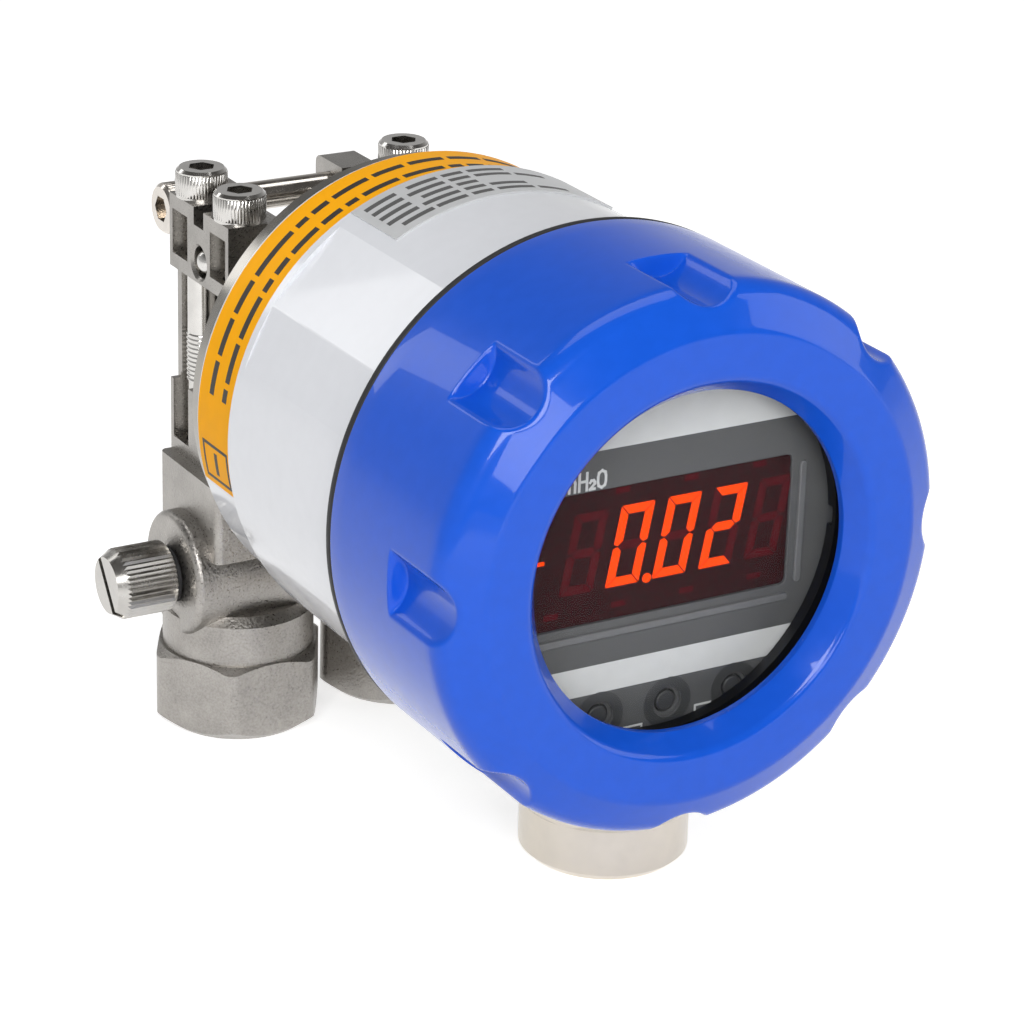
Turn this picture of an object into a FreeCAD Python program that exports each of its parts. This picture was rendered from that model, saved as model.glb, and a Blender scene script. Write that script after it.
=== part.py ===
import FreeCAD, Part
import math
import os
from FreeCAD import Vector as V

# Differential pressure transmitter with a screwed window cap, an LED display and a
# twin-flange sensor cell behind the housing.  Millimetres.
# Working frame: Y runs back along the housing axis from the cap's front face, X to the
# right as the display is read, Z up from the axis.  place() moves the finished solids
# so that the origin is the middle of the base.

# ---------------------------------------------------------------- sizes
axis_height = 69.0            # housing axis above the three feet

# cap
cap_r = 42.5
cap_length = 34.9
cap_wall = 4.1                # over the thread
cap_thread_relief = 1.8       # thread bore over the cavity in front of it
cap_pocket_ledge = 5.4        # cavity over the pocket that takes the glass
cap_lip_width = 4.9           # pocket over the clear window
cap_funnel_width = 2.6        # mouth of the window funnel over the clear window
cap_shoulder_width = 6.5      # sloping shoulder round the flat front ring
cap_shoulder = 3.5            # and its depth
cap_lip_depth = 3.8
cap_lip_wall = 1.2
cap_thread_start = 17.2
cap_rim_chamfer = 0.4
cap_front_round = 2.6
cap_shoulder_round = 4.0
cap_mouth_round = 0.9
notch_count = 8
notch_r = 5.8
notch_depth = 3.0
notch_length = 16.5

# glass and its fixings
rotary_gap = 0.15             # each side of the glass, so that the cap can turn on it
gasket_wall = 0.7
gasket_width = 3.3
glass_thickness = 3.0
glass_clearance = 0.3
ring_wall = 2.0
ring_width = 2.5
ring_clearance = 0.1
ring_slot_width = 3.0
ring_slot_depth = 1.2

# cap seal
seal_gap = 0.2
cap_seal_wall = 1.0
cap_seal_overlap = 1.1        # how far the seal stays inside the cap's rim

# housing
thread_clearance = 0.4
spigot_nose_clearance = 0.4
spigot_front = 16.0
spigot_nose_length = 1.6
housing_wall = 3.9            # at the rear part
collar_step = 1.8             # collar over the body
collar_length = 1.2
collar_slope = 1.3
body_length = 38.5
step_length = 0.8
step_width = 1.3              # body over the rear part
rear_length = 13.2
rear_edge_chamfer = 0.4
rear_wall = 4.0
facet_angles = (134.0, 153.5, 46.0, 26.5)
facet_depths = (0.78, 0.35, 0.78, 0.35)
facet_end_margin = 1.6
rib_angles = (30.0, 150.0, 270.0)
rib_r = 4.0
rib_inset = 2.6               # rib centres in from the bore
rib_front = 26.4

# display
bezel_gap = 0.5               # behind the glass ring
bezel_margin = 3.8            # between the bezel and the cap's cavity
bezel_bevel = 1.2
bezel_wall = 2.0
bezel_rim = 3.5               # bezel beyond its skirt
bezel_skirt_wall = 1.7
led_window_width = 44.0
led_window_height = 20.8
led_window_corner = 1.0
led_window_rise = 0.1
frame_margin = 1.5
frame_width = 0.8
frame_height = 0.4
filter_wall = 1.6
filter_clearance = 0.1
led_module_width = 42.0
led_module_height = 19.0
led_module_depth = 7.2
led_header_wall = 2.6
board_wall = 1.6
display_board_clearance = 0.4
standoff_r = 2.5
standoff_angle = 42.0
standoff_clearance = 0.35     # to the skirt
button_pitch = 11.8
button_middle_x = 2.0
button_inset = 7.2            # button row in from the bezel's edge
button_count = 3
button_r = 1.6
button_clearance = 0.3
button_sink = 0.4
button_recess_r = 2.4
button_recess_depth = 0.5
button_collar_r = 2.4
button_collar_wall = 0.8
button_collar_gap = 0.2
button_travel = 0.5
button_end_gap = 0.15
switch_side = 6.0
switch_height = 4.2

# small screws inside
small_screw_r = 1.2
small_head_r = 2.2
small_head_height = 1.6
small_screw_depth = 7.0
small_slot_width = 0.6
small_slot_depth = 0.7
screw_hole_clearance = 0.05
pass_hole_clearance = 0.2

# power board and terminals
power_board_margin = 5.4      # inside the housing's bore
power_board_setback = 17.0    # in front of the housing's rear wall
power_post_inset = 6.0        # post centres in from the board's edge
power_post_r = 2.8
power_post_angles = (90.0, 210.0, 330.0)
terminal_width = 30.0
terminal_height = 10.0
terminal_depth = 12.0
terminal_z = 6.0
terminal_count = 3
terminal_screw_r = 1.8
terminal_screw_height = 1.6
terminal_well = 3.0
wire_mouth_half = 2.4
wire_mouth_depth = 6.0
wire_mouth_front = 4.5
wire_mouth_back = 2.5

# conduit entry
conduit_x = 14.75
conduit_y = 47.8
conduit_boss_r = 11.6
conduit_boss_reach = 3.0      # boss below the body
conduit_thread_r = 10.0
conduit_thread_length = 10.0
conduit_thread_clearance = 0.1
conduit_seal_wall = 1.2
adapter_flats = 27.6
adapter_corner_r = 14.4
adapter_round_r = 13.8
adapter_round_length = 9.0
adapter_chamfer = 1.3
adapter_port_r = 9.2
adapter_port_depth = 15.0
adapter_way_r = 7.0

# rear plate, its seal and its screws
rear_seal_wall = 1.2
rear_seal_margin = 1.2        # seal inside the plate's rim
rear_plate_margin = 1.3       # plate inside the housing's rear
rear_plate_wall = 3.8
rear_plate_chamfer = 0.8
plate_screw_inset = 8.0       # screw centres in from the plate's rim
plate_screw_r = 2.0
plate_head_r = 3.5
plate_head_height = 4.0
plate_screw_reach = 9.5
plate_boss_r = 4.4
plate_boss_length = 5.0
plate_hex = 3.0
plate_hex_depth = 2.0
plate_head_chamfer = 0.4
plate_screw_gap = 0.5

# sensor cell
sensor_standoff = 26.4        # from the rear plate to the middle of the cell
neck_r = 10.0
neck_clearance = 0.2
neck_collar_r = 13.0
neck_collar_length = 3.0
neck_way_r = 3.0
nut_flats = 27.0
nut_wall = 4.0
nut_clearance = 0.1
neck_end = 1.5                # neck standing proud of the nut
cell_r = 14.0
cell_width = 26.0
diaphragm_r = 10.0
diaphragm_wall = 0.3

# clamp flanges: one casting used twice, turned half round the vertical
flange_wall = 10.0
flange_depth = 22.4
flange_half_height = 22.8
flange_head_height = 12.7     # solid block above the waist
flange_foot_height = 12.9     # solid block below the waist
waist_recess = 1.4
waist_wall = 1.6
waist_floor = 2.6
bolt_r = 2.5
bolt_head_r = 4.25
bolt_head_height = 5.0
bolt_hex = 4.0
bolt_hex_depth = 2.6
bolt_head_chamfer = 0.5
bolt_clearance = 0.25
bolt_head_clearance = 0.25
bolt_inset = 4.0              # clamp bolts in from the flange's outer face
bolt_spacing = 14.4
bolt_slot_width = 5.8
bolt_bridge = 2.5             # metal over and under the bolt slots
bolt_engagement = 10.5
bolt_end_gap = 1.0
top_slot_width = 3.7
top_slot_depth = 3.0
top_slot_reach = 8.0
fill_hole_r = 2.7
fill_hole_depth = 4.3
fill_hole_chamfer = 0.5
fill_hole_drop = 9.1          # below the flange's top
fill_ball_r = 2.2
chamber_r = 10.4
chamber_depth = 1.0
cell_seal_inner_r = 11.2
cell_seal_outer_r = 12.8
cell_seal_wall = 0.9
groove_clearance = 0.1
way_r = 1.4
way_inset = 7.2               # flow passage in from the flange's outer face
way_height = 9.3              # cross passage below the axis
cross_way_r = 1.0

# ears and tie bolts; the ears end level with the flange
ear_reach = 9.8
tie_y = 15.8
tie_z = 18.4
ear_round = 1.5
short_ear_inset = 5.5         # outer face of the plain ear, in from the flange's face
short_ear_width = 6.8
long_ear_inset = 6.9
long_ear_width = 6.8
tie_end_gap = 1.0

# process connectors: castings with a hexagon end and a vent valve
port_inset = 7.25             # port axis, in from the flange's outer face
block_half_width = 9.45
block_drop = 13.2             # height of the square block
block_round = 1.3
tee_drop = 41.0               # vent axis below the housing axis
tee_r = 10.8
tee_reach = 12.55             # outer face of the tee from the port axis
tee_inner_reach = 11.2
tee_round = 1.2
neck_pipe_r = 13.0
neck_pipe_top = 46.6          # below the axis
hex_flats = 27.1
hex_top = 55.0                # below the axis
hex_chamfer = 1.3
hex_corner_round = 3.0
hex_foot_chamfer = 1.2
hex_foot_slope = 2.6
port_r = 9.2
port_depth = 14.5
port_way_r = 2.5
process_seal_inner_r = 2.7
process_seal_outer_r = 4.3
process_seal_wall = 0.9

# vent valves
vent_stem_r = 3.0
vent_fit = 0.05
vent_bore_length = 9.5
vent_seat_r = 1.5
vent_tip_chamfer = 1.4
vent_seat_gap = 0.3
vent_seal_wall = 1.0
vent_seal_r = 5.0
vent_seal_gap = 0.15
knob_r = 6.1
knob_length = 10.7
knob_chamfer = 1.2
knob_chamfer_length = 2.0
knob_teeth = 44
knob_tooth = 0.35
knob_slot_width = 1.3
knob_slot_depth = 1.6
knob_slot_angle = 36.0

# labels
band_wall = 0.3
band_width = 11.4
band_margin = 0.6
band_half_angle = 105.0
plate_wall = 0.3
plate_half_angle = 28.5
plate_width = 14.6
plate_margin = 0.6

# ---------------------------------------------------------------- radii, from the cap inwards
cap_front_r = cap_r - cap_shoulder_width
cap_thread_r = cap_r - cap_wall
cap_cavity_r = cap_thread_r - cap_thread_relief
cap_pocket_r = cap_cavity_r - cap_pocket_ledge
cap_lip_r = cap_pocket_r - cap_lip_width
cap_window_r = cap_lip_r + cap_funnel_width
spigot_r = cap_thread_r - thread_clearance
glass_r = cap_pocket_r - glass_clearance
ring_r = cap_pocket_r - ring_clearance
cap_seal_r = cap_r - cap_seal_overlap
collar_r = cap_seal_r
body_r = collar_r - collar_step
rear_r = body_r - step_width
housing_bore_r = rear_r - housing_wall
rib_circle_r = housing_bore_r - rib_inset
bezel_r = cap_cavity_r - bezel_margin
bezel_skirt_r = bezel_r - bezel_rim
standoff_circle_r = bezel_skirt_r - bezel_skirt_wall - standoff_r - standoff_clearance
button_drop = bezel_r - button_inset
display_board_r = housing_bore_r - display_board_clearance
power_board_r = housing_bore_r - power_board_margin
power_post_circle_r = power_board_r - power_post_inset
conduit_boss_bottom = body_r + conduit_boss_reach
rear_plate_r = rear_r - rear_plate_margin
rear_seal_r = rear_plate_r - rear_seal_margin
plate_screw_circle_r = rear_plate_r - plate_screw_inset

# ---------------------------------------------------------------- stations along Y
glass_seat = cap_lip_depth + cap_lip_wall
gasket_front = glass_seat
glass_front = gasket_front + gasket_wall + rotary_gap
glass_back = glass_front + glass_thickness
ring_front = glass_back + rotary_gap
ring_back = ring_front + ring_wall
bezel_front = ring_back + bezel_gap
bezel_back = bezel_front + bezel_wall
display_board_front = rib_front - board_wall
seal_front = cap_length + seal_gap
shoulder = seal_front + cap_seal_wall
step_front = shoulder + body_length
rear_front = step_front + step_length
housing_back = rear_front + rear_length
wall_front = housing_back - rear_wall
plate_front = housing_back + rear_seal_wall
plate_back = plate_front + rear_plate_wall
cell_y = plate_back + sensor_standoff
overall_depth = cell_y + max(flange_depth / 2 + ear_reach, tie_y + bolt_head_r)

# stations across X, to the left of the axis
flange_inner = cell_width / 2
flange_outer = flange_inner + flange_wall
bolt_x = flange_outer - bolt_inset
port_x = flange_outer - port_inset
way_x = flange_outer - way_inset

X, Y, Z = V(1, 0, 0), V(0, 1, 0), V(0, 0, 1)


# ---------------------------------------------------------------- helpers
def box(x0, x1, y0, y1, z0, z1):
    return Part.makeBox(x1 - x0, y1 - y0, z1 - z0, V(x0, y0, z0))


def rod(r, start, end):
    """Round bar between two points."""
    along = end - start
    return Part.makeCylinder(r, along.Length, start, along)


def rod_y(r, y0, y1, x=0.0, z=0.0):
    return rod(r, V(x, y0, z), V(x, y1, z))


def tube_y(r_out, r_in, y0, y1):
    return rod_y(r_out, y0, y1).cut(rod_y(r_in, y0 - 1, y1 + 1))


def tube(r_out, r_in, start, end):
    along = (end - start).normalize()
    return rod(r_out, start, end).cut(rod(r_in, start - along, end + along))


def turned(points, base=V(0, 0, 0), along=Y, across=X):
    """Solid of revolution from (radius, station) pairs."""
    wire = Part.makePolygon([base + across * r + along * s for r, s in points + points[:1]])
    return Part.Face(wire).revolve(base, along, 360)


def polar(r, angle, y=0.0):
    a = math.radians(angle)
    return V(r * math.cos(a), y, r * math.sin(a))


def hexagon(flats, base, along, corner_at):
    """Prism of six sides with one corner towards corner_at; along gives its length."""
    side = along.cross(corner_at).normalize()
    reach = flats / math.sqrt(3)
    pts = []
    for k in range(7):
        a = math.radians(60 * k)
        pts.append(base + corner_at * (reach * math.cos(a)) + side * (reach * math.sin(a)))
    return Part.Face(Part.makePolygon(pts)).extrude(along)


def fused(first, *rest):
    return first.fuse(list(rest)).removeSplitter()


def circles_at(shape, r, y, along=Y, tol=0.01):
    """Full circular edges of radius r at station y along an axis."""
    found = []
    for e in shape.Edges:
        c = e.Curve
        if isinstance(c, Part.Circle) and abs(c.Radius - r) < tol:
            if abs(c.Center.dot(along) - y) < tol and abs(abs(c.Axis.dot(along)) - 1) < 1e-6:
                found.append(e)
    return found


def edges_along(shape, along, test):
    """Straight edges parallel to an axis whose middle passes the test."""
    found = []
    for e in shape.Edges:
        if isinstance(e.Curve, Part.Line):
            d = (e.Vertexes[-1].Point - e.Vertexes[0].Point)
            mid = (e.Vertexes[-1].Point + e.Vertexes[0].Point) * 0.5
            if d.Length > 1e-6 and abs(abs(d.normalize().dot(along)) - 1) < 1e-6 and test(mid):
                found.append(e)
    return found


def half_turn(shape):
    """The same piece used on the high side: turned half round the cell's vertical."""
    s = shape.copy()
    s.rotate(V(0, cell_y, 0), Z, 180)
    return s


def mirrored(shape):
    """Right-hand twin, reflected in the housing's middle plane."""
    return shape.mirror(V(0, 0, 0), X)


def socket_screw(seat, into, shank_r, length, head_r, head_h, hex_flats_, hex_deep, chamfer):
    """Cap screw: head outside the seat, shank going along into."""
    out = into * -1
    head = turned([(0, 0), (head_r, 0), (head_r, head_h - chamfer), (head_r - chamfer, head_h),
                   (0, head_h)], seat, out, perpendicular(out))
    shank = turned([(0, 0), (shank_r, 0), (shank_r, length - 0.6), (shank_r - 0.6, length),
                    (0, length)], seat, into, perpendicular(into))
    socket = hexagon(hex_flats_, seat + out * (head_h - hex_deep), out * (hex_deep + 1),
                     perpendicular(out))
    return fused(head, shank).cut(socket)


def perpendicular(axis):
    return X if abs(axis.dot(X)) < 0.5 else Y


def place(shape):
    s = shape.copy()
    s.translate(V(0, -overall_depth / 2, axis_height))
    return s


nodes = {}


# ---------------------------------------------------------------- cap
def make_cap():
    profile = [
        (cap_window_r, 0), (cap_front_r, 0), (cap_r, cap_shoulder), (cap_r, cap_length),
        (cap_thread_r, cap_length), (cap_thread_r, cap_thread_start),
        (cap_cavity_r, cap_thread_start), (cap_cavity_r, ring_back), (cap_pocket_r, ring_back),
        (cap_pocket_r, glass_seat), (cap_lip_r, glass_seat), (cap_lip_r, cap_lip_depth)]
    cap = turned(profile)
    cap = cap.makeFillet(cap_front_round, circles_at(cap, cap_front_r, 0))
    cap = cap.makeFillet(cap_shoulder_round, circles_at(cap, cap_r, cap_shoulder))
    cap = cap.makeFillet(cap_mouth_round, circles_at(cap, cap_window_r, 0))
    cap = cap.makeChamfer(cap_rim_chamfer, circles_at(cap, cap_r, cap_length))
    circle = cap_r - notch_depth + notch_r
    step = 360.0 / notch_count
    for k in range(notch_count):
        at = polar(circle, 90 + k * step)
        cap = cap.cut(rod_y(notch_r, -1, notch_length, at.x, at.z))
    return cap


nodes["cap"] = make_cap()
nodes["window_glass"] = rod_y(glass_r, glass_front, glass_back)
nodes["glass_gasket"] = tube_y(glass_r, glass_r - gasket_width, gasket_front,
                               gasket_front + gasket_wall)


def make_retaining_ring():
    ring = tube_y(ring_r, ring_r - ring_width, ring_front, ring_back)
    half = ring_slot_width / 2
    slots = box(-cap_r, cap_r, ring_back - ring_slot_depth, ring_back + 1, -half, half)
    return ring.cut(slots)


nodes["glass_retaining_ring"] = make_retaining_ring()
nodes["cap_seal"] = tube_y(cap_seal_r, spigot_r + seal_gap, seal_front, shoulder)


# ---------------------------------------------------------------- housing
def make_housing():
    nose_r = cap_cavity_r - spigot_nose_clearance
    collar_end = shoulder + collar_length
    outer = turned([
        (0, spigot_front), (nose_r, spigot_front), (nose_r, spigot_front + spigot_nose_length),
        (spigot_r, spigot_front + spigot_nose_length + spigot_r - nose_r), (spigot_r, shoulder),
        (collar_r, shoulder), (collar_r, collar_end), (body_r, collar_end + collar_slope),
        (body_r, step_front), (rear_r, rear_front), (rear_r, housing_back - rear_edge_chamfer),
        (rear_r - rear_edge_chamfer, housing_back), (0, housing_back)])
    # shallow cast facets that stop short of the step
    facet_start = collar_end + collar_slope
    facet_end = step_front - facet_end_margin
    for angle, depth in zip(facet_angles, facet_depths):
        slab = box(-body_r, body_r, facet_start, facet_end, 0, body_r)
        slab.translate(V(0, 0, body_r - depth))
        slab.rotate(V(0, 0, 0), Y, 90 - angle)
        outer = outer.cut(slab)
    boss = rod(conduit_boss_r, V(conduit_x, conduit_y, -conduit_boss_bottom),
               V(conduit_x, conduit_y, -housing_bore_r / 2))
    outer = fused(outer, boss)
    body = outer.cut(rod_y(housing_bore_r, spigot_front - 1, wall_front))
    # long ribs that carry the display and short bosses that take the rear screws
    adds = []
    for angle in rib_angles:
        at = polar(rib_circle_r, angle)
        adds.append(rod_y(rib_r, rib_front, wall_front + 1, at.x, at.z))
    for k in range(4):
        at = polar(plate_screw_circle_r, 45 + 90 * k)
        adds.append(rod_y(plate_boss_r, wall_front - plate_boss_length, wall_front + 1, at.x, at.z))
    body = fused(body, *adds)
    cuts = [rod_y(neck_r + neck_clearance, wall_front - 1, housing_back + 1)]
    for angle in rib_angles:
        at = polar(rib_circle_r, angle)
        cuts.append(rod_y(small_screw_r + screw_hole_clearance, rib_front - 1,
                          rib_front + small_screw_depth + 1, at.x, at.z))
    for k in range(4):
        at = polar(plate_screw_circle_r, 45 + 90 * k)
        cuts.append(rod_y(plate_screw_r + screw_hole_clearance,
                          plate_back - plate_screw_reach - plate_screw_gap, housing_back + 1,
                          at.x, at.z))
    for angle in power_post_angles:
        at = polar(power_post_circle_r, angle)
        cuts.append(rod_y(small_screw_r + screw_hole_clearance, wall_front - 1,
                          wall_front + rear_wall / 2, at.x, at.z))
    cuts.append(rod(conduit_thread_r, V(conduit_x, conduit_y, -conduit_boss_bottom - 1),
                    V(conduit_x, conduit_y, -housing_bore_r / 2)))
    return body.cut(cuts).removeSplitter()


nodes["housing"] = make_housing()


# ---------------------------------------------------------------- display
def rounded_plate(width, height, corner, y0, y1, z_mid):
    plate = box(-width / 2, width / 2, y0, y1, z_mid - height / 2, z_mid + height / 2)
    return plate.makeFillet(corner, edges_along(plate, Y, lambda m: True))


button_spots = [button_middle_x + (k - (button_count - 1) / 2) * button_pitch
                for k in range(button_count)]


def make_bezel():
    disc = turned([(0, bezel_front), (bezel_r - bezel_bevel, bezel_front),
                   (bezel_r, bezel_front + bezel_bevel), (bezel_r, bezel_back), (0, bezel_back)])
    skirt = tube_y(bezel_skirt_r, bezel_skirt_r - bezel_skirt_wall, bezel_back - 0.5,
                   display_board_front)
    lip = 2 * frame_margin
    outer = rounded_plate(led_window_width + lip + 2 * frame_width,
                          led_window_height + lip + 2 * frame_width, led_window_corner + 1,
                          bezel_front - frame_height, bezel_back, led_window_rise)
    inner = rounded_plate(led_window_width + lip, led_window_height + lip, led_window_corner,
                          bezel_front - frame_height - 1, bezel_front, led_window_rise)
    bezel = fused(disc, skirt, outer.cut(inner))
    window = rounded_plate(led_window_width, led_window_height, led_window_corner,
                           bezel_front - 2, bezel_back + 1, led_window_rise)
    cuts = [window]
    for x in button_spots:
        cuts.append(rod_y(button_recess_r, bezel_front - 1, bezel_front + button_recess_depth,
                          x, -button_drop))
        cuts.append(rod_y(button_r + button_clearance, bezel_front - 1, bezel_back + 1,
                          x, -button_drop))
        # relief in the skirt for the button and its switch
        reach = switch_side / 2 + button_clearance
        cuts.append(box(x - reach, x + reach, bezel_back, display_board_front + 1,
                        -button_drop - reach, -button_drop + reach))
    return bezel.cut(cuts)


nodes["display_bezel"] = make_bezel()
filter_front = bezel_back - filter_wall
nodes["led_filter"] = rounded_plate(
    led_window_width - 2 * filter_clearance, led_window_height - 2 * filter_clearance,
    led_window_corner, filter_front, bezel_back, led_window_rise)


def make_led_module():
    half_w, half_h = led_module_width / 2, led_module_height / 2
    back = bezel_back + led_module_depth
    low, high = led_window_rise - half_h, led_window_rise + half_h
    case = box(-half_w, half_w, bezel_back, back, low, high)
    lower = box(-half_w + 1, half_w - 1, back - 0.5, display_board_front, low,
                low + led_header_wall)
    upper = box(-half_w + 1, half_w - 1, back - 0.5, display_board_front, high - led_header_wall,
                high)
    return fused(case, lower, upper)


nodes["led_module"] = make_led_module()


def make_display_board():
    board = rod_y(display_board_r, display_board_front, rib_front)
    cuts = []
    for angle in rib_angles:
        at = polar(rib_circle_r, angle)
        cuts.append(rod_y(small_screw_r + pass_hole_clearance, display_board_front - 1,
                          rib_front + 1, at.x, at.z))
    return board.cut(cuts)


nodes["display_board"] = make_display_board()


def small_screw(x, z, seat):
    head = rod_y(small_head_r, seat - small_head_height, seat, x, z)
    shank = rod_y(small_screw_r, seat - 0.2, seat + small_screw_depth, x, z)
    half = small_slot_width / 2
    slot = box(x - small_head_r, x + small_head_r, seat - small_head_height - 1,
               seat - small_head_height + small_slot_depth, z - half, z + half)
    return fused(head, shank).cut(slot)


nodes["display_screws"] = Part.makeCompound(
    [small_screw(polar(rib_circle_r, a).x, polar(rib_circle_r, a).z, display_board_front)
     for a in rib_angles])
nodes["display_standoffs"] = Part.makeCompound(
    [rod_y(standoff_r, bezel_back, display_board_front, polar(standoff_circle_r, a).x,
           polar(standoff_circle_r, a).z)
     for a in (standoff_angle, 180 - standoff_angle, 180 + standoff_angle, -standoff_angle)])

switch_front = display_board_front - switch_height
button_front = bezel_front + button_sink
button_back = switch_front - button_travel - button_end_gap
for k, x in enumerate(button_spots):
    stem = rod_y(button_r, button_front, button_back, x, -button_drop)
    stem = stem.makeFillet(0.3, circles_at(stem, button_r, button_front))
    collar_front = bezel_back + button_collar_gap
    collar = rod_y(button_collar_r, collar_front, collar_front + button_collar_wall,
                   x, -button_drop)
    nodes["push_button_%d" % (k + 1)] = fused(stem, collar)
nodes["button_switches"] = Part.makeCompound(
    [box(x - switch_side / 2, x + switch_side / 2, switch_front, display_board_front,
         -button_drop - switch_side / 2, -button_drop + switch_side / 2) for x in button_spots])

# ---------------------------------------------------------------- power board
power_board_back = wall_front - power_board_setback
power_board_front = power_board_back - board_wall


def make_power_board():
    board = rod_y(power_board_r, power_board_front, power_board_back)
    cuts = []
    for angle in power_post_angles:
        at = polar(power_post_circle_r, angle)
        cuts.append(rod_y(small_screw_r + pass_hole_clearance, power_board_front - 1,
                          power_board_back + 1, at.x, at.z))
    for angle in rib_angles:
        at = polar(rib_circle_r, angle)
        cuts.append(rod_y(rib_r + 0.5, power_board_front - 1, power_board_back + 1, at.x, at.z))
    return board.cut(cuts)


def make_power_post(angle):
    at = polar(power_post_circle_r, angle)
    post = rod_y(power_post_r, power_board_back, wall_front, at.x, at.z)
    stud = rod_y(small_screw_r, wall_front - 0.5, wall_front + rear_wall / 2 - 0.3, at.x, at.z)
    hole = rod_y(small_screw_r + screw_hole_clearance, power_board_back - 1,
                 power_board_back + small_screw_depth, at.x, at.z)
    return fused(post, stud).cut(hole)


def make_terminal_block():
    block = box(-terminal_width / 2, terminal_width / 2, power_board_front - terminal_depth,
                power_board_front, terminal_z, terminal_z + terminal_height)
    cuts = []
    pitch = terminal_width / terminal_count
    for k in range(terminal_count):
        x = (k - (terminal_count - 1) / 2) * pitch
        # wire mouth on the lower face and the screw's well in the front face
        cuts.append(box(x - wire_mouth_half, x + wire_mouth_half,
                        power_board_front - terminal_depth + wire_mouth_front,
                        power_board_front - wire_mouth_back, terminal_z - 1,
                        terminal_z + wire_mouth_depth))
        cuts.append(rod_y(terminal_screw_r + pass_hole_clearance,
                          power_board_front - terminal_depth - 1,
                          power_board_front - terminal_depth + terminal_well, x,
                          terminal_z + terminal_height / 2))
    return block.cut(cuts)


def make_terminal_screw(k):
    x = (k - (terminal_count - 1) / 2) * terminal_width / terminal_count
    z = terminal_z + terminal_height / 2
    floor = power_board_front - terminal_depth + terminal_well
    top = floor - terminal_screw_height
    half = small_slot_width / 2
    head = rod_y(terminal_screw_r, top, floor, x, z)
    slot = box(x - terminal_screw_r - 1, x + terminal_screw_r + 1, top - 1,
               top + small_slot_depth, z - half, z + half)
    return head.cut(slot)


nodes["power_board"] = make_power_board()
nodes["board_posts"] = Part.makeCompound([make_power_post(a) for a in power_post_angles])
nodes["board_screws"] = Part.makeCompound(
    [small_screw(polar(power_post_circle_r, a).x, polar(power_post_circle_r, a).z,
                 power_board_front) for a in power_post_angles])
nodes["terminal_block"] = make_terminal_block()
nodes["terminal_screws"] = Part.makeCompound(
    [make_terminal_screw(k) for k in range(terminal_count)])


# ---------------------------------------------------------------- conduit adapter
def make_adapter():
    at = V(conduit_x, conduit_y, 0)
    top = -conduit_boss_bottom - conduit_seal_wall
    base = -axis_height
    step = base + adapter_round_length
    head = hexagon(adapter_flats, at + Z * step, Z * (top - step), X)
    head = head.common(turned([(0, step), (adapter_round_r, step), (adapter_corner_r, step + 1),
                               (adapter_corner_r, top), (0, top)], at, Z, X))
    foot = turned([(0, base), (adapter_round_r - adapter_chamfer, base),
                   (adapter_round_r, base + adapter_chamfer), (adapter_round_r, step), (0, step)],
                  at, Z, X)
    male_r = conduit_thread_r - conduit_thread_clearance
    male = rod(male_r, at + Z * (top - 0.5), at + Z * (top + conduit_seal_wall
                                                     + conduit_thread_length))
    solid = fused(foot, head, male)
    port_top = base + adapter_port_depth
    bore = turned([(0, base - 1), (adapter_port_r, base - 1), (adapter_port_r, port_top),
                   (adapter_way_r, port_top + 2), (adapter_way_r, 0), (0, 0)],
                  at, Z, X)
    return solid.cut(bore)


nodes["conduit_adapter"] = make_adapter()
seal_top = V(conduit_x, conduit_y, -conduit_boss_bottom)
nodes["conduit_seal"] = tube(conduit_boss_r, conduit_thread_r + groove_clearance,
                             seal_top - Z * conduit_seal_wall, seal_top)


# ---------------------------------------------------------------- rear plate
def make_rear_plate():
    c = rear_plate_chamfer
    plate = turned([(neck_r + neck_clearance, plate_front), (rear_plate_r - c / 2, plate_front),
                    (rear_plate_r, plate_front + c / 2), (rear_plate_r, plate_back - c),
                    (rear_plate_r - c, plate_back), (neck_r + neck_clearance, plate_back)])
    holes = []
    for k in range(4):
        at = polar(plate_screw_circle_r, 45 + 90 * k)
        holes.append(rod_y(plate_screw_r + pass_hole_clearance, plate_front - 1, plate_back + 1,
                           at.x, at.z))
    return plate.cut(holes)


def make_rear_seal():
    seal = tube_y(rear_seal_r, neck_r + neck_clearance, housing_back, plate_front)
    holes = []
    for k in range(4):
        at = polar(plate_screw_circle_r, 45 + 90 * k)
        holes.append(rod_y(plate_screw_r + pass_hole_clearance, housing_back - 1,
                           plate_front + 1, at.x, at.z))
    return seal.cut(holes)


nodes["rear_plate"] = make_rear_plate()
nodes["rear_seal"] = make_rear_seal()
nodes["plate_screws"] = Part.makeCompound(
    [socket_screw(polar(plate_screw_circle_r, 45 + 90 * k, plate_back), Y * -1, plate_screw_r,
                  plate_screw_reach, plate_head_r, plate_head_height, plate_hex, plate_hex_depth,
                  plate_head_chamfer)
     for k in range(4)])


# ---------------------------------------------------------------- sensor cell
def make_sensor_body():
    nut_front = wall_front - nut_wall
    neck = rod_y(neck_r, nut_front - neck_end, cell_y)
    collar = turned([(0, plate_back), (neck_collar_r, plate_back),
                     (neck_collar_r, plate_back + neck_collar_length),
                     (neck_r, plate_back + neck_collar_length + neck_collar_r - neck_r),
                     (0, plate_back + neck_collar_length + neck_collar_r - neck_r)])
    cell = rod(cell_r, V(-flange_inner, cell_y, 0), V(flange_inner, cell_y, 0))
    cell = cell.makeChamfer(0.6, circles_at(cell, cell_r, -flange_inner, X)
                            + circles_at(cell, cell_r, flange_inner, X))
    way = rod_y(neck_way_r, nut_front - neck_end - 1, cell_y - cell_r / 2)
    return fused(neck, collar, cell).cut(way)


def make_lock_nut():
    nut_front = wall_front - nut_wall
    nut = hexagon(nut_flats, V(0, nut_front, 0), Y * nut_wall, X)
    return nut.cut(rod_y(neck_r + nut_clearance, nut_front - 1, wall_front + 1))


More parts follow.
